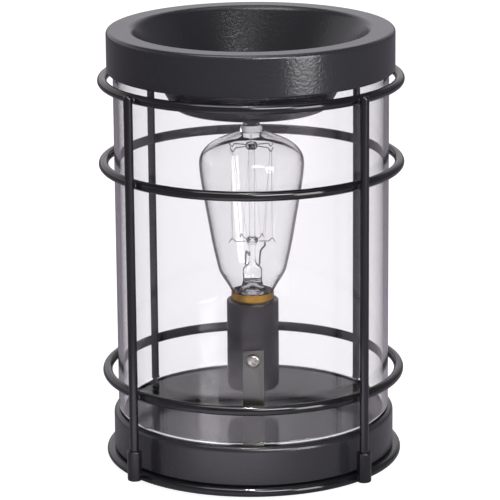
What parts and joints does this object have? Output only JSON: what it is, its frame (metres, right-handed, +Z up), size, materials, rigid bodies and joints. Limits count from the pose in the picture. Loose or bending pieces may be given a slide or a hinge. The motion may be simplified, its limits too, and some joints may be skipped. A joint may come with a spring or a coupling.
{
  "type": "wax warmer lantern",
  "caption": "Lantern wax warmer: a dish on a clear glass cylinder in a wire cage, over a round drum base with an upright filament bulb.",
  "frame": {"origin": "on the floor, on the axis of the glass cylinder", "axes": "+Z up, -Y the front with the bracket and its screw, +Y the rear with the cord inlet"},
  "size_m": [0.1164, 0.1164, 0.169],
  "materials": {
    "black_enamel": "satin",
    "clear_glass": "gloss",
    "black_phenolic": "satin",
    "zinc_plate": "plated",
    "brass": "bright",
    "nickel_wire": "drawn",
    "tungsten": "drawn",
    "black_glass": "gloss",
    "solder": "cast",
    "black_rubber": "matte",
    "lead_sleeve": "matte",
    "nylon": "satin"
  },
  "bodies": {
    "base": {"base_drum": "black_enamel", "base_flange": "black_enamel", "bottom_cover": "black_enamel", "bracket_screw": "zinc_plate", "cage_ring_lower": "black_enamel", "cage_ring_middle": "black_enamel", "cage_ring_top": "black_enamel", "cage_rod_front_left": "black_enamel", "cage_rod_front_right": "black_enamel", "cage_rod_rear_left": "black_enamel", "cage_rod_rear_right": "black_enamel", "cord_grommet": "black_rubber", "cover_screw_1": "zinc_plate", "cover_screw_2": "zinc_plate", "cover_screw_3": "zinc_plate", "ferrule_front_left": "black_enamel", "ferrule_front_right": "black_enamel", "ferrule_rear_left": "black_enamel", "ferrule_rear_right": "black_enamel", "foot_nut": "zinc_plate", "foot_screw": "zinc_plate", "lead_bush": "black_rubber", "lead_live": "lead_sleeve", "lead_neutral": "lead_sleeve", "rubber_foot_1": "black_rubber", "rubber_foot_2": "black_rubber", "rubber_foot_3": "black_rubber", "rubber_foot_4": "black_rubber", "socket_body": "black_phenolic", "socket_bracket": "zinc_plate", "socket_contact": "brass", "socket_shell": "brass", "splice_live": "nylon", "splice_neutral": "nylon"},
    "glass": {"glass_cylinder": "clear_glass"},
    "dish": {"wax_dish": "black_enamel"},
    "bulb_tip": {"cap_contact": "solder"},
    "bulb": {"bulb_cap": "brass", "bulb_envelope": "clear_glass", "bulb_stem": "clear_glass", "cap_insulator": "black_glass", "bulb_filament": "tungsten", "bulb_lead_left": "nickel_wire", "bulb_lead_right": "nickel_wire", "lower_support_1": "nickel_wire", "lower_support_2": "nickel_wire", "lower_support_3": "nickel_wire", "lower_support_4": "nickel_wire", "upper_support_1": "nickel_wire", "upper_support_2": "nickel_wire", "upper_support_3": "nickel_wire", "upper_support_4": "nickel_wire", "upper_support_5": "nickel_wire"}
  },
  "joints": [
    {"name": "glass_lift", "type": "slide", "parent": "base", "child": "glass", "axis": [0, 0, 1], "range_m": [0, 0.135]},
    {"name": "dish_lift", "type": "slide", "parent": "glass", "child": "dish", "axis": [0, 0, 1], "range_m": [0, 0.045]},
    {"name": "bulb_rise", "type": "slide", "parent": "base", "child": "bulb_tip", "axis": [0, 0, 1], "range_m": [0, 0.00254]},
    {"name": "bulb_screw", "type": "hinge", "parent": "bulb_tip", "child": "bulb", "pos_m": [0, 0, 0.0488], "axis": [0, 0, 1], "range_deg": [0, 360]}
  ],
  "couplings": [
    {"joint": "bulb_rise", "follows": "bulb_screw", "m_per_rad": 0.00040425}
  ]
}
